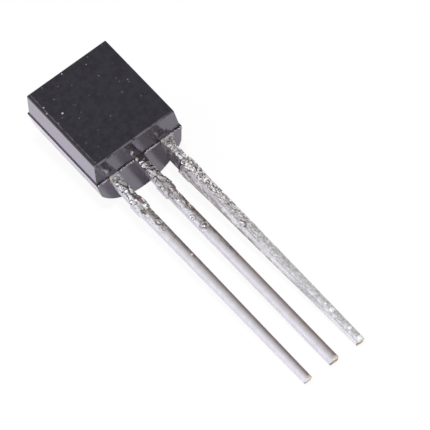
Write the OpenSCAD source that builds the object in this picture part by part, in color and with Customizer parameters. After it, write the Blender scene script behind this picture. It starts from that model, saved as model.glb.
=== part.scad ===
// Three-lead moulded transistor in the TO-92 package, with the leadframe, chip and bond wires inside the body.
// Every piece is drawn upright: X runs across the leads, Y from the flat front to the round back, and Z up from
// the lead end of the body. The mould parts at Y = 0, and the leads' front faces lie in that plane.
// lay_down() then turns the whole part over to the attitude in which it rests on a table: flat face up,
// standing on the rim of the round back and on the lead tips.

/* [Body] */
// Width of the back half at the parting plane
body_w = 4.26; // [4.1:0.02:4.7]
// Height of the back half at the parting plane
body_h = 4.70; // [4.4:0.02:5]
// Step in from the back half to the front half, all round the parting plane
parting_step = 0.05; // [0.02:0.01:0.1]
// Depth from the flat front to the parting plane
front_d = 1.18; // [1:0.02:1.4]
// Width of the flat front
flat_w = 3.95; // [3.6:0.01:4]
// Height of the flat front
flat_h = 4.56; // [4.1:0.01:4.58]
// Depth from the parting plane to the middle of the round back
back_d = 2.25; // [2:0.01:2.4]
// Depth of the flat flanks beside the round back
flank_d = 0.96; // [0.5:0.01:1.2]
// Draft of the flanks, in degrees
flank_draft = 8; // [4:0.5:12]
// Draft of the back half's end faces, in degrees
end_draft = 3; // [1:0.5:6]
// Diameter of the ejector pin's mark in the round back
mark_d = 1.6; // [1:0.1:2]
// Depth of that mark at its middle
mark_depth = 0.2; // [0.17:0.01:0.35]

/* [Leads] */
// Distance between neighbouring leads
lead_pitch = 1.28; // [1.2:0.01:1.4]
// Thickness of the leadframe's sheet
lead_t = 0.38; // [0.35:0.01:0.5]
// Thickness of the tinned emitter lead next to the body
emitter_lead_t = 0.41; // [0.38:0.01:0.48]
// Side of the emitter lead's square tip
emitter_tip_w = 0.35; // [0.32:0.01:0.42]
// Thickness of the tinned base lead next to the body
base_lead_t = 0.40; // [0.38:0.01:0.48]
// Side of the base lead's square tip
base_tip_w = 0.38; // [0.32:0.01:0.42]
// Thickness of the tinned collector lead next to the body
collector_lead_t = 0.46; // [0.38:0.01:0.48]
// Side of the collector lead's square tip
collector_tip_w = 0.38; // [0.32:0.01:0.42]
// Radius of a lead's long edges
lead_edge_r = 0.08; // [0.03:0.01:0.12]
// Length of a lead outside the body
lead_l = 12.55; // [6:0.05:16]
// Width of a lead's neck, next to the body
neck_w = 0.44; // [0.4:0.01:0.5]
// Width over the stubs that the trimmed tie bar leaves
stub_w = 0.58; // [0.5:0.01:0.7]
// Distance from the body to the stubs
stub_from = 1.45; // [1:0.05:2]
// Length of a stub along the lead
stub_l = 0.7; // [0.5:0.05:0.9]
// Turn of the collector lead about its own length, in degrees
collector_turn = 15; // [0:1:25]

/* [Leadframe inside the body] */
// Length of a lead's root, from the lead end to its wide post
root_l = 0.55; // [0.4:0.05:0.7]
// Width of the emitter's post
emitter_post_w = 0.72; // [0.5:0.02:0.8]
// Height of the emitter's post above the lead end
emitter_post_h = 2.9; // [2.2:0.1:3.6]
// Width of the base's post
base_post_w = 0.84; // [0.6:0.02:0.9]
// Height of the base's post above the lead end
base_post_h = 1.5; // [1.3:0.05:1.6]
// Width of the collector's arm
arm_w = 0.66; // [0.5:0.02:0.7]
// Width of the paddle that carries the chip
paddle_w = 2.1; // [1.8:0.05:2.15]
// Height of the paddle
paddle_h = 2.05; // [1.6:0.05:2.2]
// Height of the paddle's lower edge above the lead end
paddle_from = 1.95; // [1.85:0.05:2.1]
// Diameter of the holes that lock the leadframe into the moulding
lock_d = 0.3; // [0.2:0.02:0.36]

/* [Chip] */
// Side of the square chip
die_w = 0.5; // [0.35:0.05:0.8]
// Thickness of the chip
die_t = 0.18; // [0.1:0.01:0.25]
// Side of the square of solder under the chip
solder_w = 0.56; // [0.4:0.02:0.9]
// Thickness of that solder
solder_t = 0.02; // [0.01:0.005:0.04]

/* [Bond wires] */
// Diameter of the gold wire
wire_d = 0.03; // [0.02:0.005:0.05]
// Diameter of a wire's bonded ends
bond_d = 0.09; // [0.08:0.005:0.12]
// Thickness of a wire's bonded ends
bond_t = 0.04; // [0.035:0.005:0.06]
// Rise of a wire's loop above the line between its ends
loop_rise = 0.4; // [0.3:0.02:0.6]
// Distance between the two bonds on the chip
bond_gap = 0.24; // [0.2:0.02:0.28]

/* [Hidden] */

$fn = 64;
// What a cutting tool runs past the face that it cuts
over = 0.1;
// Height of the slices between which a bare lead is spanned
section_h = 0.01;

emitter_x = -lead_pitch;
base_x = 0;
collector_x = lead_pitch;

// Body
front_w = body_w - 2 * parting_step;
flat_from = (body_h - flat_h) / 2;
// Height of the back half's lower rim at its deepest point
rim_z = back_d * tan(end_draft);
// The round back runs through the flanks' ends and the back's middle
flank_x = body_w / 2 - flank_d * tan(flank_draft);
back_rise = back_d - flank_d;
back_r = (flank_x * flank_x + back_rise * back_rise) / (2 * back_rise);

// Leads: half the depth of a square section turned about the lead's own length
function half_depth(side, turn) =
    (side / 2 - lead_edge_r) * (cos(turn) + sin(turn)) + lead_edge_r;
tip_half = max(emitter_tip_w / 2, base_tip_w / 2, half_depth(collector_tip_w, collector_turn));
tip_back = lead_t / 2 + tip_half;
tip_front = lead_t / 2 - tip_half;
stub_end = stub_from + stub_l;
stub_out = (stub_w - neck_w) / 2;

// Leadframe
arm_right = collector_x + arm_w / 2;
paddle_right = arm_right;
paddle_left = paddle_right - paddle_w;
paddle_top = paddle_from + paddle_h;
lock_z = root_l + lock_d;

// Chip, in the middle of the paddle, and what it carries
die_x = (paddle_left + paddle_right) / 2;
die_z = paddle_from + paddle_h / 2;
die_face = solder_t + die_t;
emitter_bond = [die_x - bond_gap / 2, die_z];
base_bond = [die_x + bond_gap / 2, die_z];
emitter_post_bond = [emitter_x, emitter_post_h - emitter_post_w / 2];
base_post_bond = [base_x, base_post_h - base_post_w / 2];

// Attitude at rest: the slope between the back's rim and the lowest lead tip, and the shift that brings
// the middle of the part's footprint to the origin
rest_tilt = atan((back_d - tip_back) / (lead_l + rim_z));
rim_height = rim_z * sin(rest_tilt) - back_d * cos(rest_tilt);
near_y = -lead_l * cos(rest_tilt) + tip_front * sin(rest_tilt);
far_y = (body_h - rim_z) * cos(rest_tilt) + back_d * sin(rest_tilt);

module lay_down() {
    translate([0, -(near_y + far_y) / 2, -rim_height])
        rotate([rest_tilt - 90, 0, 0])
            children();
}

// A prism whose outline is given in Y and Z, as wide across X as asked
module side_prism(outline, width) {
    rotate([90, 0, 90])
        translate([0, 0, -width / 2])
            linear_extrude(height = width)
                polygon(outline);
}

// The half in front of the leads: a frustum that narrows to the flat face
module front_half() {
    intersection() {
        translate([0, 0, -over])
            linear_extrude(height = body_h + 2 * over)
                polygon([[-front_w / 2, 0], [-flat_w / 2, -front_d], [flat_w / 2, -front_d], [front_w / 2, 0]]);
        side_prism([[0, parting_step], [0, body_h - parting_step],
                    [-front_d, body_h - flat_from], [-front_d, flat_from]], body_w);
    }
}

// The half behind the parting plane: drafted flanks that run into the round back
module back_half() {
    intersection() {
        union() {
            translate([0, 0, -over])
                linear_extrude(height = body_h + 2 * over)
                    polygon([[-body_w / 2, 0], [body_w / 2, 0], [flank_x, flank_d], [-flank_x, flank_d]]);
            intersection() {
                translate([0, back_d - back_r, -over])
                    cylinder(r = back_r, h = body_h + 2 * over);
                translate([-body_w, flank_d, -over])
                    cube([2 * body_w, back_d, body_h + 2 * over]);
            }
        }
        side_prism([[0, 0], [0, body_h], [back_d, body_h - rim_z], [back_d, rim_z]], 2 * body_w);
    }
}

// Round flat-bottomed mark of the ejector pin in the middle of the round back
module ejector_mark() {
    translate([0, back_d - mark_depth, body_h / 2])
        rotate([-90, 0, 0])
            cylinder(d = mark_d, h = mark_depth + over);
}

module molded_body() {
    color([0.10, 0.10, 0.11])
        difference() {
            union() {
                front_half();
                back_half();
            }
            ejector_mark();
            emitter_lead();
            base_lead();
            collector_lead();
            silicon_chip();
            chip_solder();
            emitter_wire();
            base_wire();
        }
}

// A plate of the leadframe: a rectangle in X and Z, with its front face in the parting plane
module plate(x_from, x_to, z_from, z_to) {
    translate([x_from, 0, z_from])
        cube([x_to - x_from, lead_t, z_to - z_from]);
}

// The rounded square section of the bare lead at height z
module lead_section(side, z) {
    for (across = [-1, 1], deep = [-1, 1])
        translate([across * (side / 2 - lead_edge_r), lead_t / 2 + deep * (side / 2 - lead_edge_r), z])
            cylinder(r = lead_edge_r, h = section_h, $fn = 32);
}

// What shows of a lead: the neck, the stubs of the tie bar with their sheared corners, and the bare lead,
// whose tin coat thins from the stubs to the tip
module lead_outside(thick, tip_w) {
    hull() {
        lead_section(tip_w, -lead_l);
        lead_section(thick, -stub_end);
    }
    translate([0, (lead_t + thick) / 2, 0])
        rotate([90, 0, 0])
            linear_extrude(height = thick)
                polygon([[-neck_w / 2, 0], [-neck_w / 2, stub_out - stub_from],
                         [-stub_w / 2, -stub_from], [-stub_w / 2, stub_out - stub_end],
                         [-thick / 2, -stub_end], [thick / 2, -stub_end],
                         [stub_w / 2, stub_out - stub_end], [stub_w / 2, -stub_from],
                         [neck_w / 2, stub_out - stub_from], [neck_w / 2, 0]]);
}

// The lead's root, from the body's lead end up to the post or arm that it carries
module lead_root() {
    plate(-neck_w / 2, neck_w / 2, 0, root_l);
}

// Hole through the leadframe, which the moulding fills
module lock_hole() {
    translate([0, -over, lock_z])
        rotate([-90, 0, 0])
            cylinder(d = lock_d, h = lead_t + 2 * over);
}

module emitter_lead() {
    color([0.78, 0.78, 0.80])
        translate([emitter_x, 0, 0]) {
            lead_outside(emitter_lead_t, emitter_tip_w);
            lead_root();
            difference() {
                plate(-emitter_post_w / 2, emitter_post_w / 2, root_l, emitter_post_h);
                lock_hole();
            }
        }
}

module base_lead() {
    color([0.78, 0.78, 0.80])
        translate([base_x, 0, 0]) {
            lead_outside(base_lead_t, base_tip_w);
            lead_root();
            plate(-base_post_w / 2, base_post_w / 2, root_l, base_post_h);
        }
}

module collector_lead() {
    color([0.78, 0.78, 0.80]) {
        translate([collector_x, 0, 0]) {
            translate([0, lead_t / 2, 0])
                rotate([0, 0, collector_turn])
                    translate([0, -lead_t / 2, 0])
                        lead_outside(collector_lead_t, collector_tip_w);
            lead_root();
            difference() {
                plate(-arm_w / 2, arm_w / 2, root_l, paddle_from);
                lock_hole();
            }
        }
        plate(paddle_left, paddle_right, paddle_from, paddle_top);
    }
}

// A square slab on the front of the paddle, in the middle
module slab(side, thickness, lift) {
    translate([die_x - side / 2, -lift - thickness, die_z - side / 2])
        cube([side, thickness, side]);
}

module silicon_chip() {
    color([0.35, 0.37, 0.42]) slab(die_w, die_t, solder_t);
}

module chip_solder() {
    color([0.70, 0.70, 0.72]) slab(solder_w, solder_t, 0);
}

// A disc where a wire is bonded to a face that lies lift in front of the parting plane
module bond(at, lift) {
    translate([at[0], -lift, at[1]])
        rotate([90, 0, 0])
            cylinder(d = bond_d, h = bond_t);
}

// A wire from a bond on the chip to a bond on a post, as one arc that stands on the leadframe.
// Across is the distance between the bonds along the leadframe, and the arc's centre lies on the middle
// normal of the sloping line between the wire's ends.
module bond_wire(on_chip, on_post) {
    across = norm(on_post - on_chip);
    fall = die_face;
    span = norm([across, fall]);
    loop_r = (span * span / 4 + loop_rise * loop_rise) / (2 * loop_rise);
    half_sweep = asin(span / 2 / loop_r);
    heading = atan2(on_post[1] - on_chip[1], on_post[0] - on_chip[0]);
    bond(on_chip, die_face);
    bond(on_post, 0);
    // the wire's own plane: its X runs along the leadframe from chip to post, its Y away from the leadframe
    translate([on_chip[0], 0, on_chip[1]])
        rotate([90, 0, 0])
            rotate([0, 0, heading])
                translate([0, 0, bond_t / 2 + die_face])
                    rotate([0, atan(fall / across), 0])
                        translate([span / 2, 0, loop_rise - loop_r])
                            rotate([90, 0, 0])
                                rotate([0, 0, 90 - half_sweep])
                                    rotate_extrude(angle = 2 * half_sweep)
                                        translate([loop_r, 0])
                                            circle(d = wire_d);
}

module emitter_wire() {
    color([0.90, 0.72, 0.30]) bond_wire(emitter_bond, emitter_post_bond);
}

module base_wire() {
    color([0.90, 0.72, 0.30]) bond_wire(base_bond, base_post_bond);
}

lay_down() molded_body();
lay_down() emitter_lead();
lay_down() base_lead();
lay_down() collector_lead();
lay_down() silicon_chip();
lay_down() chip_solder();
lay_down() emitter_wire();
lay_down() base_wire();
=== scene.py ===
import math

import bpy
from mathutils import Matrix, Vector, noise

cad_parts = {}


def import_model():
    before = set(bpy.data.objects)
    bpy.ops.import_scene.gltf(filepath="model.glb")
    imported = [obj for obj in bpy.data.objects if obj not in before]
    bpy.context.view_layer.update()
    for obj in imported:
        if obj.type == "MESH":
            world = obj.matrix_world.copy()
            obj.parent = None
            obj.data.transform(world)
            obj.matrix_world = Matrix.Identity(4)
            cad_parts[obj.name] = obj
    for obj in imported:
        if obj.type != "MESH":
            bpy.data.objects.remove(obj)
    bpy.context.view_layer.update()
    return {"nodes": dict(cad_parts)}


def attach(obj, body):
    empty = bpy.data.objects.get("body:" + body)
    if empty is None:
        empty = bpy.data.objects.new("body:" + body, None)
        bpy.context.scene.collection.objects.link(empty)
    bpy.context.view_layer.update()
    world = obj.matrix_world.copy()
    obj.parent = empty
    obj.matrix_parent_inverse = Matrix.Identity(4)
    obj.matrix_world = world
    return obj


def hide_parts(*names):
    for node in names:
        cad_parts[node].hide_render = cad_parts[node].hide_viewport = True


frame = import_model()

# Sizes are in millimetres. The part is drawn upright, as in its source: X across the leads, Y from
# the flat front to the round back with the leads' front faces at Y = 0, and Z up from the body's
# lead end. LAY_DOWN turns that drawing over into the row frame, in metres.
MM = 0.001

# The moulded body
BODY_W, BODY_H = 4.26, 4.70
STEP = 0.05
FRONT_D, BACK_D = 1.18, 2.25
FLAT_W, FLAT_H = 3.95, 4.56
FLANK_D, FLANK_DRAFT = 0.96, math.radians(8)
END_DRAFT = math.radians(3)
MARK_D, MARK_DEPTH = 1.6, 0.2

# The leads outside the body
PITCH = 1.28
LEAD_T, LEAD_L = 0.38, 12.55
TIP_W, TIP_TURN, EDGE_R = 0.38, math.radians(15), 0.08
NECK_W = 0.44
STUB_FROM, STUB_L = 1.45, 0.7

# What the leads end in, inside the body
ROOT_L = 0.55
EMITTER_POST_W, EMITTER_POST_H = 0.72, 2.9
BASE_POST_W, BASE_POST_H = 0.84, 1.5
ARM_W = 0.66
PADDLE_W, PADDLE_H, PADDLE_FROM = 2.1, 2.05, 1.95
LOCK_D = 0.3

FRONT_W = BODY_W - 2 * STEP
FLAT_FROM = (BODY_H - FLAT_H) / 2
FLANK_X = BODY_W / 2 - FLANK_D * math.tan(FLANK_DRAFT)
BACK_R = (FLANK_X ** 2 + (BACK_D - FLANK_D) ** 2) / (2 * (BACK_D - FLANK_D))
RIM_Z = BACK_D * math.tan(END_DRAFT)


def lay_down():
    """The matrix from the upright drawing to the row frame: on the back's rim and the lead tips."""
    half = (TIP_W / 2 - EDGE_R) * (math.cos(TIP_TURN) + math.sin(TIP_TURN)) + EDGE_R
    tilt = math.atan((BACK_D - LEAD_T / 2 - half) / (LEAD_L + RIM_Z))
    rim_height = RIM_Z * math.sin(tilt) - BACK_D * math.cos(tilt)
    near = -LEAD_L * math.cos(tilt) + (LEAD_T / 2 - half) * math.sin(tilt)
    far = (BODY_H - RIM_Z) * math.cos(tilt) + BACK_D * math.sin(tilt)
    place = Matrix.Translation((0, -(near + far) / 2 * MM, -rim_height * MM))
    return place @ Matrix.Rotation(tilt - math.pi / 2, 4, "X") @ Matrix.Scale(MM, 4)


LAY_DOWN = lay_down()


def smooth(value, start, end):
    """0 before start, 1 after end, and an easy slope between."""
    t = min(max((value - start) / (end - start), 0), 1)
    return t * t * (3 - 2 * t)


# ---------------------------------------------------------------- materials

def material(name, **values):
    """A Principled material with its node tree and its shader."""
    made = bpy.data.materials.new(name)
    made.use_nodes = True
    tree = made.node_tree
    shader = tree.nodes["Principled BSDF"]
    for socket, value in values.items():
        shader.inputs[socket.replace("_", " ")].default_value = value
    return made, tree, shader


def feed(tree, socket, value):
    """Link a socket into an input, or set the input to a value."""
    if isinstance(value, bpy.types.NodeSocket):
        tree.links.new(value, socket)
    else:
        socket.default_value = value


def node(tree, kind, inputs=None, **settings):
    """A node with its settings and inputs."""
    made = tree.nodes.new(kind)
    for name, value in settings.items():
        setattr(made, name, value)
    for name, value in (inputs or {}).items():
        feed(tree, made.inputs[name], value)
    return made


def upright(tree):
    """A point's place in the upright drawing, in millimetres."""
    place, turn, scale = LAY_DOWN.decompose()
    return node(tree, "ShaderNodeMapping", {
        "Vector": node(tree, "ShaderNodeTexCoord").outputs["Object"],
        "Location": place, "Rotation": turn.to_euler(), "Scale": scale,
    }, vector_type="TEXTURE").outputs["Vector"]


def separate(tree, vector):
    """The vector's X, Y and Z."""
    return node(tree, "ShaderNodeSeparateXYZ", {"Vector": vector}).outputs


def ramp(tree, value, low, high, to_low=0.0, to_high=1.0):
    """An easy slope from to_low, where the value is low, to to_high, where it is high."""
    return node(tree, "ShaderNodeMapRange", {
        "Value": value, "From Min": low, "From Max": high, "To Min": to_low, "To Max": to_high,
    }, interpolation_type="SMOOTHSTEP").outputs["Result"]


def clouds(tree, place, size, detail=3.0, roughness=0.5):
    """Noise whose spots are about size millimetres."""
    return node(tree, "ShaderNodeTexNoise", {
        "Vector": place, "Scale": 1 / size, "Detail": detail, "Roughness": roughness,
    }).outputs["Fac"]


# Where a Mix node has its sockets for colours
MIX_SHARE, MIX_FIRST, MIX_SECOND, MIX_RESULT = 0, 6, 7, 2


def mix(tree, share, first, second):
    """The first colour where share is 0, and the second where it is 1."""
    return node(tree, "ShaderNodeMix", {MIX_SHARE: share, MIX_FIRST: first, MIX_SECOND: second},
                data_type="RGBA").outputs[MIX_RESULT]


def maths(tree, operation, first, second, clamp=False):
    """The result of a sum on two values."""
    return node(tree, "ShaderNodeMath", {0: first, 1: second},
                operation=operation, use_clamp=clamp).outputs[0]


def vector_maths(tree, operation, first, second):
    """The node of a sum on two vectors."""
    return node(tree, "ShaderNodeVectorMath", {0: first, 1: second}, operation=operation)


def grey(value, tint=(1.0, 1.0, 1.0)):
    """A grey with a tint, as a colour with alpha."""
    return (value * tint[0], value * tint[1], value * tint[2], 1.0)


def bump(tree, shader, height, strength, distance):
    """Make the surface bumpy, by up to distance millimetres."""
    made = node(tree, "ShaderNodeBump", {
        "Height": height, "Strength": strength, "Distance": distance * MM,
    })
    feed(tree, shader.inputs["Normal"], made.outputs["Normal"])


# Black epoxy moulding compound has a faint violet cast, and so have the dust on it, its torn flash
# and the light lines painted as highlights along its edges
EPOXY = (1.0, 0.95, 1.15)
PALE_TINT = (1.0, 0.96, 1.02)

# The larger specks of dust on the flat: across, up, radius and shade
SPECKS = (
    (-0.3, 4.5, 0.03, 0.4),
    (-1.8, 3.7, 0.035, 0.35),
    (-1.88, 3.38, 0.035, 0.3),
    (-1.8, 2.7, 0.03, 0.2),
    (0.7, 4.2, 0.025, 0.2),
    (1.5, 2.5, 0.025, 0.2),
    (-1.4, 2.98, 0.04, 0.5),
)


def flat_finish():
    """The flat front: satin from the mould, dusty, with a light line just inside its left edge:
    dust, and a painted edge highlight.
    """
    made, tree, shader = material("moulding_flat", IOR=1.5, Specular_Tint=(0.82, 0.78, 1.0, 1.0))
    place = upright(tree)
    patches = ramp(tree, clouds(tree, place, 0.22, 5.0, 0.65), 0.36, 0.64)
    colour = mix(tree, patches, grey(0.011, EPOXY), grey(0.020, EPOXY))
    # a light line just inside the left edge, wandering and broken: dust, and a painted edge
    # highlight
    from_edge = maths(tree, "ADD", separate(tree, place)["X"], FLAT_W / 2)
    wander = maths(tree, "MULTIPLY", clouds(tree, place, 0.12), 0.05)
    inside = maths(tree, "SUBTRACT", from_edge, wander)
    line = maths(tree, "MULTIPLY", ramp(tree, inside, 0.07, 0.10), ramp(tree, inside, 0.14, 0.11))
    broken = ramp(tree, clouds(tree, place, 0.25, 3.0), 0.32, 0.56, 0.2, 1.0)
    colour = mix(tree, maths(tree, "MULTIPLY", line, broken), colour, grey(0.10, PALE_TINT))
    # a fine grain of dust here and there, more or less light
    cell = node(tree, "ShaderNodeTexVoronoi", {"Vector": place, "Scale": 4.0})
    chance = node(tree, "ShaderNodeSeparateColor", {"Color": cell.outputs["Color"]}).outputs["Red"]
    grain = maths(tree, "MULTIPLY", ramp(tree, cell.outputs["Distance"], 0.16, 0.06),
                  ramp(tree, chance, 0.4, 1.0))
    colour = mix(tree, grain, colour, grey(0.14, (0.92, 0.95, 1.15)))
    for across, up, radius, shade in SPECKS:
        apart = vector_maths(tree, "DISTANCE", place, (across, -FRONT_D, up)).outputs["Value"]
        speck = ramp(tree, apart, radius * 1.4, radius * 0.6)
        colour = mix(tree, speck, colour, grey(shade, PALE_TINT))
    feed(tree, shader.inputs["Base Color"], colour)
    gloss = ramp(tree, clouds(tree, place, 0.2), 0.3, 0.7, 0.26, 0.34)
    feed(tree, shader.inputs["Roughness"], gloss)
    bump(tree, shader, clouds(tree, place, 0.05, 5.0, 0.6), 0.5, 0.004)
    return made


def glossy_finish(name, shades, coat_ior):
    """Moulding that is glossy from the mould, in patches of two shades."""
    made, tree, shader = material(name, IOR=1.5, Coat_Weight=1.0, Coat_Roughness=0.15,
                                  Coat_IOR=coat_ior, Coat_Tint=(0.86, 0.76, 1.0, 1.0))
    place = upright(tree)
    patches = ramp(tree, clouds(tree, place, 0.5, 4.0), 0.3, 0.7)
    colour = mix(tree, patches, grey(shades[0], EPOXY), grey(shades[1], EPOXY))
    feed(tree, shader.inputs["Base Color"], colour)
    gloss = ramp(tree, clouds(tree, place, 0.2), 0.3, 0.7, 0.12, 0.18)
    feed(tree, shader.inputs["Roughness"], gloss)
    bump(tree, shader, clouds(tree, place, 0.12, 5.0, 0.6), 0.5, 0.004)
    return made


def edge_finish():
    """The rounded edges, dark but for a nick here and there. The flat's lead-end edge has a broken
    light line, a painted highlight.
    """
    made, tree, shader = material("moulding_edge", IOR=1.5, Coat_Weight=0.5, Coat_Roughness=0.2)
    place = upright(tree)
    _, deep, up = separate(tree, place)
    lead_end_highlight = maths(tree, "MULTIPLY", ramp(tree, up, 0.2, 0.12), ramp(tree, deep, -0.9, -1.0))
    broken = ramp(tree, clouds(tree, place, 0.2, 4.0), 0.36, 0.6, 0.2, 1.0)
    nicks = ramp(tree, clouds(tree, place, 0.12, 4.0, 0.6), 0.62, 0.70)
    nicks_and_highlight = maths(tree, "MAXIMUM", nicks, maths(tree, "MULTIPLY", lead_end_highlight, broken))
    # lighter at the nicks, and along the flat's lead-end edge, where the lighter line is a painted
    # highlight
    colour = mix(tree, nicks_and_highlight, grey(0.012, EPOXY), grey(0.12, PALE_TINT))
    feed(tree, shader.inputs["Base Color"], colour)
    gloss = maths(tree, "ADD", 0.2, maths(tree, "MULTIPLY", nicks_and_highlight, 0.25))
    feed(tree, shader.inputs["Roughness"], gloss)
    bump(tree, shader, clouds(tree, place, 0.04, 4.0), 0.5, 0.003)
    return made


def flash_finish():
    """Broken flash: dark resin, light in the spots where it is torn."""
    made, tree, shader = material("moulding_flash", IOR=1.5)
    place = upright(tree)
    torn = ramp(tree, clouds(tree, place, 0.045, 2.0, 0.6), 0.44, 0.60)
    colour = mix(tree, torn, grey(0.02, EPOXY), grey(0.8, PALE_TINT))
    feed(tree, shader.inputs["Base Color"], colour)
    feed(tree, shader.inputs["Roughness"], ramp(tree, torn, 0.0, 1.0, 0.3, 0.6))
    bump(tree, shader, clouds(tree, place, 0.03, 3.0), 0.6, 0.006)
    return made


def metal(name, colour, roughness, grain):
    """Bare metal with a faintly uneven colour and gloss, and a grain of that many millimetres."""
    made, tree, shader = material(name, Metallic=1.0)
    place = upright(tree)
    patches = ramp(tree, clouds(tree, place, 0.4), 0.3, 0.7)
    low = (colour[0] * 0.93, colour[1] * 0.91, colour[2] * 0.91, 1.0)
    feed(tree, shader.inputs["Base Color"], mix(tree, patches, low, (*colour, 1.0)))
    gloss = ramp(tree, clouds(tree, place, 0.15), 0.3, 0.7, roughness * 0.8, roughness * 1.25)
    feed(tree, shader.inputs["Roughness"], gloss)
    bump(tree, shader, clouds(tree, place, grain, 4.0), 0.5, 0.003)
    return made


# What the leads' meshes say of the coat at each point, in this order
TIN_LOOKS = ("dull", "crumpled", "stain_and_shade", "bare")

# Colours of the coat. Where there are two, it is patchy between them.
BRIGHT_TIN = (0.78, 0.76, 0.77, 1.0), (0.84, 0.83, 0.86, 1.0)
FROSTED_TIN = (0.54, 0.56, 0.58, 1.0), (0.73, 0.74, 0.75, 1.0)
# painted glints in the frosted coat
GLINT = (0.91, 0.97, 0.98, 1.0)
FOIL = (0.80, 0.80, 0.80, 1.0), (0.98, 0.98, 0.97, 1.0)
# the darks of the dross: on bright tin for oxidised patches and for painted shade in the folds, and
# on dull tin for fine grains
OXIDE_AND_FOLD_SHADE_ON_BRIGHT, OXIDE_ON_DULL = (0.22, 0.20, 0.19, 1.0), (0.16, 0.165, 0.17, 1.0)
STAIN_AND_SHADE = (0.36, 0.34, 0.34, 1.0)
# copper for cut ends, and the colour of the painted copper glints
COPPER_AND_GLINT = (0.97, 0.82, 0.64, 1.0)
BEAD_TIN = (0.92, 0.92, 0.88, 1.0), (0.84, 0.89, 0.90, 1.0)


def tin_finish():
    """Hot-dip tin. The mesh says where it is frosty, where it is crumpled dross, where it is
    stained and painted with shade, and where copper is cut and copper-coloured glints are painted."""
    made, tree, shader = material("tin", Specular_Tint=(0.72, 0.71, 0.78, 1.0))
    place = upright(tree)
    dull, crumpled, stain_and_shade, bare = (
        node(tree, "ShaderNodeAttribute", attribute_name=name).outputs["Fac"]
        for name in TIN_LOOKS)
    # the smooth coat and the frosted one
    bright = mix(tree, ramp(tree, clouds(tree, place, 0.35, 3.0), 0.35, 0.65), *BRIGHT_TIN)
    frost = mix(tree, ramp(tree, clouds(tree, place, 0.12, 3.0, 0.6), 0.40, 0.60), *FROSTED_TIN)
    # painted glints: bluish-white specks mixed into the frosted coat's colour
    glints = ramp(tree, clouds(tree, place, 0.16, 2.0, 0.5), 0.50, 0.64, 0.0, 0.6)
    frost = mix(tree, glints, frost, GLINT)
    # dross: on bright tin it is foil with oxidised patches and painted shade in its folds, longer
    # than they are wide, and on dull tin it has fine dark grains
    stretched = vector_maths(tree, "MULTIPLY", place, (1.0, 1.0, 0.6)).outputs["Vector"]
    fine = clouds(tree, stretched, 0.075, 3.0, 0.6)
    patch = ramp(tree, clouds(tree, stretched, 0.2, 3.0), 0.45, 0.36)
    from_fold = maths(tree, "ABSOLUTE",
                      maths(tree, "SUBTRACT", clouds(tree, stretched, 0.12, 2.0), 0.5), 0.0)
    oxide_and_fold_shade = maths(tree, "MAXIMUM", patch, ramp(tree, from_fold, 0.035, 0.0, 0.0, 0.8))
    on_bright = maths(tree, "MULTIPLY", oxide_and_fold_shade, maths(tree, "SUBTRACT", 1.0, dull))
    on_dull = maths(tree, "MULTIPLY", ramp(tree, fine, 0.49, 0.42), dull)
    foil = mix(tree, ramp(tree, fine, 0.50, 0.60), *FOIL)
    dark_dross = mix(tree, dull, OXIDE_AND_FOLD_SHADE_ON_BRIGHT, OXIDE_ON_DULL)
    dross = mix(tree, maths(tree, "ADD", on_bright, on_dull), foil, dark_dross)
    colour = mix(tree, crumpled, mix(tree, dull, bright, frost), dross)
    # stains and painted shade, then cut copper and painted copper-coloured glints
    blots = maths(tree, "MULTIPLY", stain_and_shade,
                  ramp(tree, clouds(tree, stretched, 0.13, 3.0), 0.38, 0.58, 0.2, 1.0))
    colour = mix(tree, blots, colour, STAIN_AND_SHADE)
    feed(tree, shader.inputs["Base Color"], mix(tree, bare, colour, COPPER_AND_GLINT))
    # frosty tin, cut copper and the painted copper glints are less metallic and rougher; sparks in
    # the dross are only less metallic, so they show as light specks: painted glints
    frosty = maths(tree, "MULTIPLY", dull, ramp(tree, crumpled, 0.0, 1.0, 1.0, 0.6))
    frosty = maths(tree, "MAXIMUM", frosty, bare)
    spark = maths(tree, "MULTIPLY", ramp(tree, fine, 0.55, 0.60), crumpled)
    spark = maths(tree, "MULTIPLY", maths(tree, "MULTIPLY", spark, dull), 0.6)
    metallic = maths(tree, "SUBTRACT", ramp(tree, frosty, 0.0, 1.0, 1.0, 0.5), spark, clamp=True)
    feed(tree, shader.inputs["Metallic"], metallic)
    gloss = ramp(tree, clouds(tree, place, 0.15), 0.3, 0.7, 0.16, 0.24)
    rougher = maths(tree, "MULTIPLY", frosty, ramp(tree, crumpled, 0.0, 1.0, 0.34, 0.05))
    feed(tree, shader.inputs["Roughness"], maths(tree, "ADD", gloss, rougher))
    grain = maths(tree, "MULTIPLY", clouds(tree, place, 0.05, 4.0),
                  ramp(tree, frosty, 0.0, 1.0, 0.12, 1.0))
    ridges = maths(tree, "MULTIPLY", crumpled, maths(tree, "MULTIPLY", fine, 1.5))
    bump(tree, shader, maths(tree, "ADD", grain, ridges), 0.6, 0.004)
    return made


def bead_finish():
    """Beads of bright tin that stand on the coat."""
    made, tree, shader = material("tin_bead", Metallic=0.3)
    place = upright(tree)
    colour = mix(tree, ramp(tree, clouds(tree, place, 0.06), 0.4, 0.6), *BEAD_TIN)
    feed(tree, shader.inputs["Base Color"], colour)
    gloss = ramp(tree, clouds(tree, place, 0.05), 0.3, 0.7, 0.12, 0.22)
    feed(tree, shader.inputs["Roughness"], gloss)
    return made


flat_moulding = flat_finish()
end_moulding = glossy_finish("moulding_end", (0.010, 0.016), 1.7)
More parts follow.
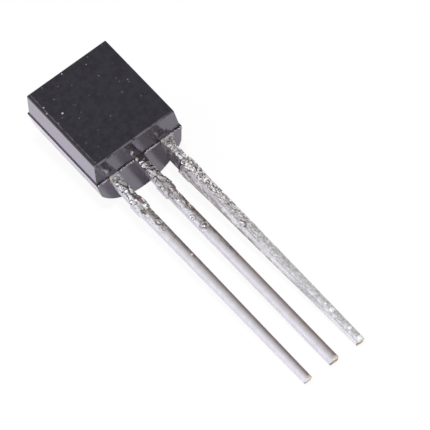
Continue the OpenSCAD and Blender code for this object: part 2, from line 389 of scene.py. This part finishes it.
# the sides get a lighter copy of the same black epoxy than the flat and the lead end: painted light
# for their brighter sheen
lightened_side_moulding = glossy_finish("moulding_side_lightened", (0.042, 0.052), 2.0)
edge_moulding = edge_finish()
flash_moulding = flash_finish()
tin = tin_finish()
bead_tin = bead_finish()
silicon = metal("silicon", (0.30, 0.31, 0.36), 0.12, 0.2)
solder = metal("solder", (0.62, 0.62, 0.64), 0.4, 0.03)
gold = metal("gold", (0.95, 0.72, 0.33), 0.2, 0.02)

for name, finish in (("silicon_chip", silicon), ("chip_solder", solder),
                     ("emitter_wire", gold), ("base_wire", gold)):
    slots = frame["nodes"][name].data.materials
    slots.clear()
    slots.append(finish)


# ---------------------------------------------------------------- pieces

def solid(name, points, faces, finishes):
    """An object made of points and faces."""
    mesh = bpy.data.meshes.new(name)
    mesh.from_pydata(points, [], faces)
    for finish in finishes:
        mesh.materials.append(finish)
    made = bpy.data.objects.new(name, mesh)
    bpy.context.scene.collection.objects.link(made)
    return made


def bake(made):
    """Turn the object's modifiers into mesh."""
    evaluated = made.evaluated_get(bpy.context.evaluated_depsgraph_get())
    mesh = bpy.data.meshes.new_from_object(evaluated)
    made.modifiers.clear()
    made.data = mesh


def combine(made, other, operation):
    """Join the other solid to the first, or cut it from it, and drop it."""
    step = made.modifiers.new(operation.lower(), "BOOLEAN")
    step.operation = operation
    step.solver = "EXACT"
    step.object = other
    bake(made)
    bpy.data.objects.remove(other)


def finish_piece(made, sharp, replaced=None):
    """Lay the solid down into the row frame and hand it over. Its edges are sharp from sharp
    degrees on."""
    made.data.transform(LAY_DOWN)
    for polygon in made.data.polygons:
        polygon.use_smooth = True
    made.data.set_sharp_from_angle(angle=math.radians(sharp))
    made.modifiers.new("flat faces stay flat", "WEIGHTED_NORMAL").keep_sharp = True
    bake(made)
    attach(made, "root")
    if replaced:
        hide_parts(replaced)


def prism(outline, low, high):
    """Points and faces of an outline in X and Z that runs along Y from low to high."""
    n = len(outline)
    points = [(x, low, z) for x, z in outline] + [(x, high, z) for x, z in outline]
    faces = [(i, n + i, n + (i + 1) % n, (i + 1) % n) for i in range(n)]
    faces += [tuple(range(n)), tuple(reversed(range(n, 2 * n)))]
    return points, faces


def drum(radius, low, high, x, z, count=64):
    """Points and faces of a cylinder that runs along Y from low to high. Its faces point inwards,
    so a cut with it only draws its outline on a solid and takes nothing away."""
    ring = [(x + radius * math.cos(2 * math.pi * i / count),
             z + radius * math.sin(2 * math.pi * i / count)) for i in range(count)]
    points = [(u, low, v) for u, v in ring] + [(u, high, v) for u, v in ring]
    faces = [(i, (i + 1) % count, count + (i + 1) % count, count + i) for i in range(count)]
    faces += [tuple(reversed(range(count))), tuple(range(count, 2 * count))]
    return points, faces


def rectangle(wide, y, low, tall):
    """The corners of a rectangle that faces the front, from its lower left one."""
    return [(x * wide / 2, y, low + z * tall) for x, z in ((-1, 0), (1, 0), (1, 1), (-1, 1))]


# The slots of the body's finishes, after the sides' in slot 0
FLAT, EDGE, END = 1, 2, 3

# How wide the body's edges are rounded, and the shares of it that the edges get: round the flat,
# between flat and ledge, at the ends of the parting line and round the back's ends
ROUNDING = 0.06
ROUND_FLAT, ROUND_FRONT, ROUND_PARTING, ROUND_BACK = 1.0, 0.8, 0.35, 0.7
ARC_STEPS = 72


def body_shell():
    """The outside of the moulding: flat-fronted frustum, parting ledge, flanks and round back."""
    centre_y = BACK_D - BACK_R
    start = math.atan2(FLANK_D - centre_y, FLANK_X)
    outline = [(-BODY_W / 2, 0.0)]
    for i in range(ARC_STEPS + 1):
        a = math.pi - start - (math.pi - 2 * start) * i / ARC_STEPS
        outline.append((BACK_R * math.cos(a), centre_y + BACK_R * math.sin(a)))
    outline.append((BODY_W / 2, 0.0))
    n = len(outline)
    low = [(x, y, y * math.tan(END_DRAFT)) for x, y in outline]
    high = [(x, y, BODY_H - z) for x, y, z in low]
    ledge, flat = 2 * n, 2 * n + 4
    points = (low + high + rectangle(FRONT_W, 0.0, STEP, BODY_H - 2 * STEP)
              + rectangle(FLAT_W, -FRONT_D, FLAT_FROM, FLAT_H))
    faces = [(i, n + i, n + i + 1, i + 1) for i in range(n - 1)]
    faces += [tuple(range(n)), tuple(reversed(range(n, 2 * n)))]
    corners = (0, n - 1, 2 * n - 1, n)
    for i in range(4):
        j = (i + 1) % 4
        faces.append((corners[i], corners[j], ledge + j, ledge + i))
        faces.append((ledge + i, ledge + j, flat + j, flat + i))
    faces.append(tuple(flat + i for i in range(4)))
    made = solid("molded_body_shell", points, faces,
                 (lightened_side_moulding, flat_moulding, edge_moulding, end_moulding))
    for polygon in made.data.polygons:
        if abs(polygon.normal.z) > 0.7:
            polygon.material_index = END
    made.data.polygons[len(faces) - 1].material_index = FLAT
    weights = made.data.attributes.new("bevel_weight_edge", "FLOAT", "EDGE")
    made.data.update()
    rounded = {}
    for i in range(4):
        j = (i + 1) % 4
        rounded[frozenset((flat + i, flat + j))] = ROUND_FLAT
        rounded[frozenset((ledge + i, flat + i))] = ROUND_FRONT
        rounded[frozenset((corners[i], corners[j]))] = ROUND_PARTING
    for i in range(n - 1):
        rounded[frozenset((i, i + 1))] = ROUND_BACK
        rounded[frozenset((n + i, n + i + 1))] = ROUND_BACK
    for edge in made.data.edges:
        weights.data[edge.index].value = rounded.get(frozenset(edge.vertices), 0.0)
    bevel = made.modifiers.new("round", "BEVEL")
    bevel.limit_method = "WEIGHT"
    bevel.width = ROUNDING
    bevel.segments = 4
    bevel.material = EDGE
    bevel.use_clamp_overlap = True
    bake(made)
    # the ejector pin's mark, of which only the outline comes out
    mark = drum(MARK_D / 2, BACK_D - MARK_DEPTH, BACK_D + 0.2, 0, BODY_H / 2)
    combine(made, solid("mark", *mark, (lightened_side_moulding,)), "DIFFERENCE")
    finish_piece(made, 25, "molded_body")


body_shell()


# Leads and flash start this far inside the body
SUNK = 0.03


def wobble(x, size, *seed):
    """Noise along X whose waves are about size millimetres."""
    return noise.noise(Vector((x / size, *seed)))


def parting_flash():
    """The thin fin of resin in the mould's joint on the lead end, between and beside the leads.
    It is torn and stands proud at the collector's side."""
    spacing, half_slot, thick = 0.02, 0.28, 0.02
    points, faces = [], []
    for start, end in ((-BODY_W / 2 + 0.05, -PITCH - half_slot),
                       (-PITCH + half_slot, -half_slot),
                       (half_slot, PITCH - half_slot),
                       (PITCH + 0.16, BODY_W / 2 - 0.04)):
        count = int((end - start) / spacing)
        first = len(points)
        for i in range(count + 1):
            x = start + (end - start) * i / count
            ragged = wobble(x, 0.12, 2.7, 0.3) + 0.7 * wobble(x, 0.045, 5.1, 0.8)
            torn = smooth(x, 1.35, 1.5) * smooth(-x, -2.12, -1.95)
            proud = max(0.04 + 0.02 * ragged + torn * (0.08 + 0.22 * ragged), 0.006)
            lean = 0.01 + torn * 0.05 * wobble(x, 0.08, 8.3, 4.2)
            points += [(x, 0.0, SUNK), (x, lean - thick / 2, -proud),
                       (x, lean + thick / 2, -proud), (x, 0.004 + 1.5 * thick, SUNK)]
        for i in range(count):
            a, b = first + 4 * i, first + 4 * (i + 1)
            faces += [(a + k, a + (k + 1) % 4, b + (k + 1) % 4, b + k) for k in range(4)]
        faces += [tuple(first + k for k in reversed(range(4))),
                  tuple(first + 4 * count + k for k in range(4))]
    finish_piece(solid("parting_flash", points, faces, (flash_moulding,)), 40)


parting_flash()


def stops(z, table):
    """The value at height z from (height, value) pairs that go down, straight between them."""
    for (z0, v0), (z1, v1) in zip(table, table[1:]):
        if z >= z1:
            return v0 + (v1 - v0) * (z0 - z) / (z0 - z1) if z < z0 else v0
    return table[-1][1]


def section(half_w, half_t, front_r, back_r, corner_steps=6, side_steps=11):
    """Points and outward normals round a rounded rectangle. Its front is at minus half_t."""
    ring = []
    corners = ((1, -1, front_r), (1, 1, back_r), (-1, 1, back_r), (-1, -1, front_r))
    for k, (side, deep, radius) in enumerate(corners):
        middle = (side * (half_w - radius), deep * (half_t - radius))
        start = math.pi / 2 * (k - 1)
        for i in range(corner_steps + 1):
            a = start + math.pi / 2 * i / corner_steps
            nu, nv = math.cos(a), math.sin(a)
            ring.append((middle[0] + radius * nu, middle[1] + radius * nv, nu, nv))
        begin = ring[-1][:2]
        side, deep, radius = corners[(k + 1) % 4]
        end = (side * (half_w - radius) + radius * nu, deep * (half_t - radius) + radius * nv)
        for i in range(1, side_steps):
            s = i / side_steps
            ring.append((begin[0] + (end[0] - begin[0]) * s, begin[1] + (end[1] - begin[1]) * s,
                         nu, nv))
    return ring


def flakes(point, size):
    """Crumpled skin: each cell of a Voronoi pattern is a small plane of its own slope."""
    seed = noise.voronoi(Vector(point) / size)[1][0]
    slope = noise.cell_vector(seed * 7.3) * 2 - Vector((1, 1, 1))
    return slope.dot(Vector(point) / size - seed)


# How far the coat stands proud along the middle of the leads' front, and how far the sheared end
# slants
CROWN, TIP_SLANT = 0.05, 0.24

# The leads taper from here down to the tip
TAPER_FROM = 2.6

# How far apart the rings of a lead's mesh lie, where the coat is rough and where it is smooth, and
# how far down a bright lead is smooth from
FINE_RINGS, COARSE_RINGS, SMOOTH_FROM = 0.022, 0.06, 7

# The radius of the leads' edges: on the neck, and how much more it is at the front and at the
# back below the stubs
NECK_EDGE, FRONT_EDGE, BACK_EDGE = 0.03, 0.01, 0.06

# Height and size of the crumpled coat's waves, long flakes and fine flakes, how much longer than
# wide the long ones are, and how much the crumpled coat lies lower as a whole
WAVE_H, WAVE_SIZE = 0.014, 0.16
LONG_H, LONG_SIZE, LONG_STRETCH = 0.054, 0.18, 0.55
FINE_H, FINE_SIZE = 0.016, 0.08
CRUMPLE_DROP = 0.010


class Lead:
    """A lead's shape outside the body and the state of its coat.

    x is its place in the row, stub_w its width over the sheared stubs, near and tip its thickness
    below them and at the tip, and shift how far it is bent sideways. turn says how many degrees it
    is turned about its own length, and rough how crumpled the coat is, both as tables for stops.
    darkening gives how dark the coat is, by stains and by painted shade. dull is how frosty it is,
    frosty_root how frosty it is next to the body, and flake the size of its flakes. curls are
    ripples in it, each with its place across and up, its radius and its height. copper_glints are
    painted glints of copper colour, each with its place and radius.
    """

    def __init__(self, x, stub_w, near, tip, shift, rough, darkening, turn=((0.0, 0),), dull=0.0,
                 frosty_root=0.0, flake=1.0, curls=(), copper_glints=()):
        self.x, self.stub_w, self.near, self.tip = x, stub_w, near, tip
        self.shift, self.turn = shift, turn
        self.rough, self.darkening = rough, darkening
        self.dull, self.frosty_root, self.flake = dull, frosty_root, flake
        self.curls, self.copper_glints = curls, copper_glints

    def heights(self):
        """The heights of the mesh's rings."""
        rows = []
        z = SUNK
        while z > -LEAD_L + 0.05:
            rows.append(z)
            z -= FINE_RINGS if self.dull or z > -SMOOTH_FROM else COARSE_RINGS
        return rows + [-LEAD_L + 0.04, -LEAD_L]

    def taper(self, z):
        """The lead's thickness below the stubs."""
        return stops(z, ((-TAPER_FROM, self.near), (-LEAD_L, self.tip)))

    def turned(self, z):
        """The angle by which the lead is turned about its length."""
        return math.radians(stops(z, self.turn))

    def place(self, u, v, z, cut=0.0):
        """A point u across and v deep from the lead's middle, cut above height z."""
        moved = stops(z, ((0.0, 0.0), (-0.6, self.shift), (-TAPER_FROM, self.shift),
                          (-LEAD_L, 0.0)))
        cu, cv = math.cos(self.turned(z)), math.sin(self.turned(z))
        return (self.x + moved + u * cu - v * cv, LEAD_T / 2 + u * cv + v * cu, z + cut)

    def coat(self, u, v, nu, nv, z, thick, crumple):
        """How far the coat stands over a point, and how much a curl smooths and darkens it."""
        if z >= 0:
            return 0.0, 0.0, 0.0
        clear = mark = 0.0
        facing = 0.05 + 0.95 * smooth(-nv, 0.4, 1.0)
        # each lead has its own part of the noise
        p = (u + 3 * self.x, v, z)
        long = (u + 3 * self.x, v, LONG_STRETCH * z)
        lift = crumple * facing * (WAVE_H * noise.noise(Vector(p) / WAVE_SIZE)
                                   + LONG_H * flakes(long, LONG_SIZE * self.flake)
                                   + FINE_H * flakes(p, FINE_SIZE * self.flake)
                                   ) - CRUMPLE_DROP * crumple
        for du, dz, radius, height in self.curls:
            d = (math.hypot(u - du, v + thick / 2, z - dz) / radius
                 + 0.2 * noise.noise(Vector(p) / 0.12))
            if d < 1:
                ripple = math.cos(4 * math.pi * d) * (1 - d)
                lift += height * max(facing, 0.7 * self.dull * smooth(-nu, 0.3, 0.8)) * ripple
                clear = max(clear, self.dull * smooth(1 - d, 0.0, 0.4))
                mark = max(mark, smooth(ripple, 0.0, 0.4) * smooth(-nv, 0.5, 1.0))
        return lift, clear, mark

    def copper_glint_at(self, u, v, z, thick):
        """How strong a painted copper-coloured glint is at a point."""
        return max((smooth(radius - math.hypot(u - du, v + thick / 2, z - dz), 0.0, 0.6 * radius)
                    for du, dz, radius in self.copper_glints), default=0.0)

    def looks(self, across, deep, nu, nv, z, crumple, clear, mark, copper_glint):
        """What TIN_LOOKS lists, at a point given in shares of the lead's width and thickness."""
        dull = max((self.dull - clear) * smooth(-nv + 0.6 * nu, -0.1, 0.5) * smooth(-z, 0.2, 1.0),
                   self.frosty_root * smooth(z, -0.8, -0.2), smooth(-z, LEAD_L - 0.15, LEAD_L))
        # below the stubs the dross leaves the front's left edge
        front = (smooth(-nv, 0.3, 0.9)
                 * smooth(across + 0.5, 0.0, 0.01 + 0.25 * smooth(-z, 2.2, 3.2)))
        crumpled = crumple * front * (1 - clear)
        stain_and_shade = max(self.darkening(across, deep, nu, nv, z), mark)
        cut_end = smooth(-z, LEAD_L - 0.25, LEAD_L) * smooth(across, -0.3, 0.3)
        # a painted copper-coloured glint at the root's left corner, like the lead's listed copper
        # glints
        root_glint = smooth(z, -0.14, -0.06) * smooth(-across, 0.2, 0.35) * smooth(-nv, -0.2, 0.5)
        return dull, crumpled, stain_and_shade, max(cut_end, root_glint, copper_glint)

    def ring(self, z):
        """The points round the lead at height z, each with its looks."""
        flare = (self.stub_w - NECK_W) / 2
        wide = stops(z, ((flare - STUB_FROM, NECK_W), (-STUB_FROM, self.stub_w),
                         (flare - STUB_FROM - STUB_L, self.stub_w),
                         (-STUB_FROM - STUB_L, self.taper(z))))
        spread = smooth(-z, 0.0, 0.25)
        thick = LEAD_T + (self.taper(z) - LEAD_T) * spread
        crumple = smooth(-z, 0.02, 0.12) * stops(z, self.rough)
        below = smooth(-z, 2.0, 3.5)
        for u, v, nu, nv in section(wide / 2, thick / 2, NECK_EDGE + FRONT_EDGE * below,
                                    NECK_EDGE + BACK_EDGE * below):
            lift, clear, mark = self.coat(u, v, nu, nv, z, thick, crumple)
            crown = CROWN * spread * max(-nv, 0.0) * (0.5 - (2 * u / wide) ** 2)
            cut = smooth(-z, LEAD_L - 0.12, LEAD_L) * TIP_SLANT * (0.5 + v / thick)
            coat_u, coat_v = u + nu * lift, v + nv * lift - crown
            yield (self.place(coat_u, coat_v, z, cut),
                   self.looks(coat_u / wide, coat_v / thick, nu, nv, z, crumple, clear, mark,
                              self.copper_glint_at(u, v, z, thick)))


def tinned_lead(name, lead, inside, hole_x=None, beads=()):
    """Replace a lead by a tinned one, with its outline inside the body, the outline of the lock
    hole in it, and beads of tin on it, each with its place across and up, its radius and its
    height."""
    heights = lead.heights()
    points, looks = zip(*(point for z in heights for point in lead.ring(z)))
    n = len(points) // len(heights)
    faces = [(r * n + i, r * n + (i + 1) % n, (r + 1) * n + (i + 1) % n, (r + 1) * n + i)
             for r in range(len(heights) - 1) for i in range(n)]
    faces += [tuple(reversed(range(n))), tuple(range(len(points) - n, len(points)))]
    made = solid(name + "_tinned", points, faces, (tin,))
    for kind, values in zip(TIN_LOOKS, zip(*looks)):
        made.data.attributes.new(kind, "FLOAT", "POINT").data.foreach_set("value", values)
    plate = solid("plate", *prism(inside, 0.0, LEAD_T), (tin,))
    if hole_x is not None:
        hole = drum(LOCK_D / 2, -0.1, LEAD_T + 0.1, hole_x, ROOT_L + LOCK_D, 32)
        combine(plate, solid("hole", *hole, (tin,)), "DIFFERENCE")
    combine(made, plate, "UNION")
    finish_piece(made, 50, name)
    for i, (u, z, radius, height) in enumerate(beads):
        middle = lead.place(u, -lead.taper(z) / 2 - 0.4 * CROWN, z)
        bead("tin_bead_%d" % (i + 1), middle, radius, height, lead.turned(z))


def bead(name, middle, radius, height, turned, rings=14, count=28):
    """A bead: a squashed ball that is half sunk in the coat."""
    points, faces = [(0, -1, 0)], [(0, 1 + i, 1 + (i + 1) % count) for i in range(count)]
    for r in range(1, rings):
        a = math.pi * r / rings
        points += [(math.sin(a) * math.cos(2 * math.pi * i / count), -math.cos(a),
                    math.sin(a) * math.sin(2 * math.pi * i / count)) for i in range(count)]
    for r in range(rings - 2):
        a, b = 1 + r * count, 1 + (r + 1) * count
        faces += [(a + i, b + i, b + (i + 1) % count, a + (i + 1) % count) for i in range(count)]
    last = 1 + (rings - 2) * count
    points.append((0, 1, 0))
    faces += [(last + i, len(points) - 1, last + (i + 1) % count) for i in range(count)]
    cu, cv = math.cos(turned), math.sin(turned)
    placed = [(middle[0] + radius * u * cu - height * v * cv,
               middle[1] + radius * u * cv + height * v * cu, middle[2] + radius * w)
              for u, v, w in points]
    finish_piece(solid(name, placed, faces, (bead_tin,)), 80)


def post(x, width, top):
    """The outline of a lead's root and the post on it."""
    return [(x - NECK_W / 2, 0.0), (x + NECK_W / 2, 0.0), (x + NECK_W / 2, ROOT_L),
            (x + width / 2, ROOT_L), (x + width / 2, top), (x - width / 2, top),
            (x - width / 2, ROOT_L), (x - NECK_W / 2, ROOT_L)]


def paddle():
    """The outline of the collector's root, arm and paddle."""
    right = PITCH + ARM_W / 2
    return [(PITCH - NECK_W / 2, 0.0), (PITCH + NECK_W / 2, 0.0), (PITCH + NECK_W / 2, ROOT_L),
            (right, ROOT_L), (right, PADDLE_FROM + PADDLE_H),
            (right - PADDLE_W, PADDLE_FROM + PADDLE_H), (right - PADDLE_W, PADDLE_FROM),
            (PITCH - ARM_W / 2, PADDLE_FROM), (PITCH - ARM_W / 2, ROOT_L),
            (PITCH - NECK_W / 2, ROOT_L)]


def emitter_darkening(across, deep, nu, nv, z):
    """A darker band down the right of the front: painted shade."""
    return (0.6 * smooth(across, 0.0, 0.3) * smooth(-z, 2.0, 3.0) * smooth(z, -6.5, -5.0)
            * smooth(-nv, -0.2, 0.6))


def base_darkening(across, deep, nu, nv, z):
    """Darker all over next to the body, and then a band down the right of the front, which is
    painted shade.
    """
    band = 0.75 * smooth(across, -0.1, 0.3) * smooth(-z, 2.0, 3.0) * smooth(z, -7.0, -5.5)
    return max(0.5 * smooth(z, -3.6, -2.6), band) * smooth(-nv, -0.2, 0.6)


def collector_darkening(across, deep, nu, nv, z):
    """Stains on the front's edges and in a band down the front, and painted shade on the left side,
    most near the body.
    """
    edge = ((0.6 + 0.4 * smooth(-nu, 0.0, 0.3)) * smooth(abs(nu), 0.2, 0.5)
            * smooth(-nv, 0.2, 0.5))
    band = (0.35 * smooth(-nv, -0.2, 0.6) * smooth(0.24 - abs(across + 0.36), 0.0, 0.16)
            * smooth(z, -8.0, -5.0))
    # the left side is darker toward its back, most near the body, and darker still right next to
    # the body: painted shade where it mirrors the dark body
    side = (2.2 * smooth(-nu, 0.2, 0.6) * smooth(deep, -0.05 - 0.4 * smooth(z, -5.5, -3.5), 0.4)
            * smooth(z, -10.5, -4.5))
    flank_shade = 2.0 * smooth(-nu, 0.4, 0.9) * smooth(z, -1.9, -1.0)
    return max(max(edge, band) * smooth(-z, 2.0, 2.6), side, flank_shade)


tinned_lead("emitter_lead", Lead(
    x=-PITCH, stub_w=0.56, near=0.445, tip=0.35, shift=-0.07,
    rough=((0.0, 0.65), (-0.7, 1.0), (-2.3, 1.0), (-2.9, 0.4), (-3.6, 0.15), (-5.0, 0.0)),
    darkening=emitter_darkening,
    frosty_root=0.85,
    curls=((0.06, -2.98, 0.32, 0.024), (0.05, -3.36, 0.22, 0.016), (0.12, -4.0, 0.14, 0.012)),
    copper_glints=((0.1, -5.05, 0.07),),
), inside=post(-PITCH, EMITTER_POST_W, EMITTER_POST_H), hole_x=-PITCH)

tinned_lead("base_lead", Lead(
    x=0.0, stub_w=0.55, near=0.43, tip=0.42, shift=-0.045,
    rough=((-2.8, 1.0), (-3.6, 0.4), (-4.6, 0.15), (-6.0, 0.0)),
    darkening=base_darkening,
    curls=((0.0, -4.3, 0.38, 0.024), (-0.15, -3.72, 0.25, 0.016), (0.1, -3.35, 0.2, 0.016)),
    copper_glints=((0.2, -3.13, 0.1),),
), inside=post(0.0, BASE_POST_W, BASE_POST_H))

tinned_lead("collector_lead", Lead(
    x=PITCH, stub_w=0.62, near=0.53, tip=0.345, shift=-0.12,
    turn=((0.0, 0), (-0.8, 25), (-3.0, 25), (-LEAD_L, 11)),
    rough=((0.0, 0.75), (-0.6, 1.0), (-3.2, 1.0), (-4.5, 0.8), (-5.5, 0.5), (-7.0, 0.3),
           (-9.0, 0.12), (-10.0, 0.0)),
    darkening=collector_darkening,
    dull=1.0,
    frosty_root=0.8,
    flake=0.8,
    curls=((-0.27, -5.3, 0.34, 0.035),),
), inside=paddle(), hole_x=PITCH, beads=(
    (-0.01, -10.32, 0.055, 0.04), (0.0, -10.70, 0.11, 0.06),
    (0.01, -11.8, 0.085, 0.05), (0.04, -12.41, 0.12, 0.06)))


# ---------------------------------------------------------------- studio

# How much of its own white the floor shows to a look, and in a reflection at the part's middle
# and from MIRROR_LEFT metres to the left of it on. The rest is lit, so that the floor keeps the
# object's shadow.
SEEN_WHITE = 0.92
MIRRORED_MIDDLE, MIRRORED_LEFT, MIRROR_LEFT = 0.1, 0.5, 0.005
FLOOR_HALF = 1.5


def floor():
    """A pale floor, which glows whiter in reflections to the left of the part."""
    corners = [(x * FLOOR_HALF, y * FLOOR_HALF, 0) for x, y in ((-1, -1), (1, -1), (1, 1), (-1, 1))]
    finish, tree, shader = material("floor", Base_Color=grey(0.93), Roughness=0.9,
                                    Specular_IOR_Level=0.0)
    made = solid("floor", corners, [(0, 1, 2, 3)], (finish,))
    path = node(tree, "ShaderNodeLightPath").outputs
    seen = maths(tree, "MULTIPLY", path["Is Camera Ray"], SEEN_WHITE)
    across = separate(tree, node(tree, "ShaderNodeTexCoord").outputs["Object"])["X"]
    # in reflections the floor glows whiter to the left of the part: painted light for the part's
    # left side
    mirrored = maths(tree, "MULTIPLY",
                     maths(tree, "MAXIMUM", path["Is Glossy Ray"], path["Is Transmission Ray"]),
                     ramp(tree, across, 0.0, -MIRROR_LEFT, MIRRORED_MIDDLE, MIRRORED_LEFT))
    white = node(tree, "ShaderNodeEmission", {"Color": grey(1.0), "Strength": 1.0})
    both = node(tree, "ShaderNodeMixShader", {
        0: maths(tree, "MAXIMUM", seen, mirrored), 1: shader.outputs[0], 2: white.outputs[0],
    })
    feed(tree, tree.nodes["Material Output"].inputs["Surface"], both.outputs[0])


def world():
    """A studio that is bright on the left, dim and warm on the right, and dim to the front."""
    made = bpy.data.worlds.new("studio")
    bpy.context.scene.world = made
    made.use_nodes = True
    tree = made.node_tree
    x, y, z = separate(tree, node(tree, "ShaderNodeTexCoord").outputs["Generated"])
    middle = mix(tree, ramp(tree, x, -0.45, 0.25), (0.97, 0.96, 1.03, 1), (0.62, 0.61, 0.61, 1))
    side = mix(tree, ramp(tree, x, 0.15, 0.8), middle, (0.225, 0.17, 0.165, 1))
    front = mix(tree, ramp(tree, y, -0.15, -0.8), side, (0.30, 0.29, 0.30, 1))
    low = mix(tree, ramp(tree, x, -0.5, 0.1), (0.85, 0.84, 0.88, 1), (0.10, 0.08, 0.08, 1))
    background = tree.nodes["Background"].inputs
    feed(tree, background["Color"], mix(tree, ramp(tree, z, 0.06, 0.32), low, front))
    background["Strength"].default_value = 1.0


def lamp(name, place, size, power, mirrored):
    """A square lamp that aims at the part. A mirrored one is a card that only shows in
    reflections, and the others never do."""
    data = bpy.data.lights.new(name, "AREA")
    data.size = size
    data.energy = power
    made = bpy.data.objects.new(name, data)
    bpy.context.scene.collection.objects.link(made)
    made.location = place
    made.rotation_euler = (-Vector(place)).to_track_quat("-Z", "Y").to_euler()
    made.visible_glossy = mirrored
    made.visible_diffuse = not mirrored


floor()
world()
lamp("key", (-0.012, -0.045, 0.14), 0.014, 0.135, mirrored=False)
lamp("card", (-0.08, -0.06, 0.11), 0.05, 0.05, mirrored=True)


def camera():
    """The photograph's place and lens, given in the upright drawing."""
    place = Vector((-49.7179, -176.5431, -107.3983))
    azimuth, elevation = math.radians(-15.8964), math.radians(-29.3444)
    roll = math.radians(-43.8787)
    data = bpy.data.cameras.new("camera")
    data.lens = 450.4
    data.sensor_width = 36
    data.clip_start, data.clip_end = 0.01, 5
    made = bpy.data.objects.new("camera", data)
    bpy.context.scene.collection.objects.link(made)
    back = Vector((math.sin(azimuth) * math.cos(elevation),
                   -math.cos(azimuth) * math.cos(elevation), math.sin(elevation)))
    right = Vector((math.cos(azimuth), math.sin(azimuth), 0))
    across = right * math.cos(roll) + back.cross(right) * math.sin(roll)
    above = back.cross(across)
    turn = LAY_DOWN.to_3x3().normalized() @ Matrix((across, above, back)).transposed()
    made.matrix_world = Matrix.Translation(LAY_DOWN @ place) @ turn.to_4x4()
    bpy.context.scene.camera = made


camera()
bpy.context.scene.view_settings.view_transform = "Standard"
